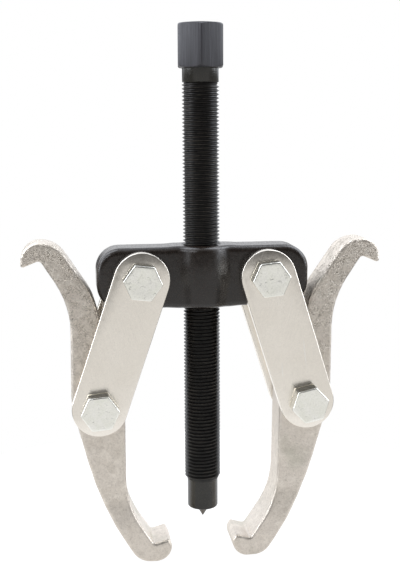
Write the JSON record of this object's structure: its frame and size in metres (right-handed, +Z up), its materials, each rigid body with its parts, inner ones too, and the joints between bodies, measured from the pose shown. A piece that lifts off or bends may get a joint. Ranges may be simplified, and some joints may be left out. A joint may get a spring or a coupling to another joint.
{
  "type": "gear puller",
  "caption": "Hand puller with opposed reversible S-shaped jaws on paired strap links, a forged crosshead and a hex-headed forcing screw with a centre point.",
  "frame": {"origin": "on the forcing screw's axis, level with the two upper pivot bolts", "axes": "+Z up the forcing screw to its hex head, +X to the right-hand jaw, -Y to the front where the bolt heads are"},
  "size_m": [0.1397, 0.0421, 0.2108],
  "materials": {
    "crosshead": "black-finished drop forging, satin with softly rounded edges",
    "screw": "black oxide on turned and rolled steel",
    "point": "hardened and ground steel, darkened",
    "links": "zinc-plated flat bar, smooth",
    "jaws": "zinc-plated drop forging, finely mottled",
    "bolts": "zinc-plated",
    "nuts": "zinc-plated",
    "nylon": "moulded nylon"
  },
  "bodies": {
    "crosshead": {"crosshead": "crosshead", "bolt_upper_left": "bolts", "bolt_upper_right": "bolts", "nut_upper_left": "nuts", "nut_upper_right": "nuts", "nylon_ring_upper_left": "nylon", "nylon_ring_upper_right": "nylon"},
    "point": {"center_pin": "point"},
    "screw": {"forcing_screw": "screw"},
    "links_left": {"link_front_left": "links", "link_rear_left": "links", "bolt_lower_left": "bolts", "nut_lower_left": "nuts", "nylon_ring_lower_left": "nylon"},
    "links_right": {"link_front_right": "links", "link_rear_right": "links", "bolt_lower_right": "bolts", "nut_lower_right": "nuts", "nylon_ring_lower_right": "nylon"},
    "jaw_left": {"jaw_left": "jaws"},
    "jaw_right": {"jaw_right": "jaws"}
  },
  "joints": [
    {"name": "screw_advance", "type": "slide", "parent": "crosshead", "child": "point", "axis": [0, 0, -1], "range_m": [-0.065, 0.062]},
    {"name": "screw_spin", "type": "hinge", "parent": "point", "child": "screw", "pos_m": [0, 0, 0], "axis": [0, 0, -1], "range_deg": [-16600, 15840]},
    {"name": "link_swing_left", "type": "hinge", "parent": "crosshead", "child": "links_left", "pos_m": [-0.02445, 0, 0], "axis": [0, 1, 0], "range_deg": [-1.5, 40]},
    {"name": "link_swing_right", "type": "hinge", "parent": "crosshead", "child": "links_right", "pos_m": [0.02445, 0, 0], "axis": [0, -1, 0], "range_deg": [-1.5, 40]},
    {"name": "jaw_swing_left", "type": "hinge", "parent": "links_left", "child": "jaw_left", "pos_m": [-0.04142, 0, -0.04957], "axis": [0, 1, 0], "range_deg": [-40, 1.5]},
    {"name": "jaw_swing_right", "type": "hinge", "parent": "links_right", "child": "jaw_right", "pos_m": [0.04012, 0, -0.05], "axis": [0, -1, 0], "range_deg": [-40, 1.5]}
  ],
  "couplings": [
    {"joint": "screw_spin", "follows": "screw_advance", "rad_per_m": 4452.7},
    {"joint": "jaw_swing_left", "follows": "link_swing_left", "ratio": -1},
    {"joint": "jaw_swing_right", "follows": "link_swing_right", "ratio": -1}
  ]
}
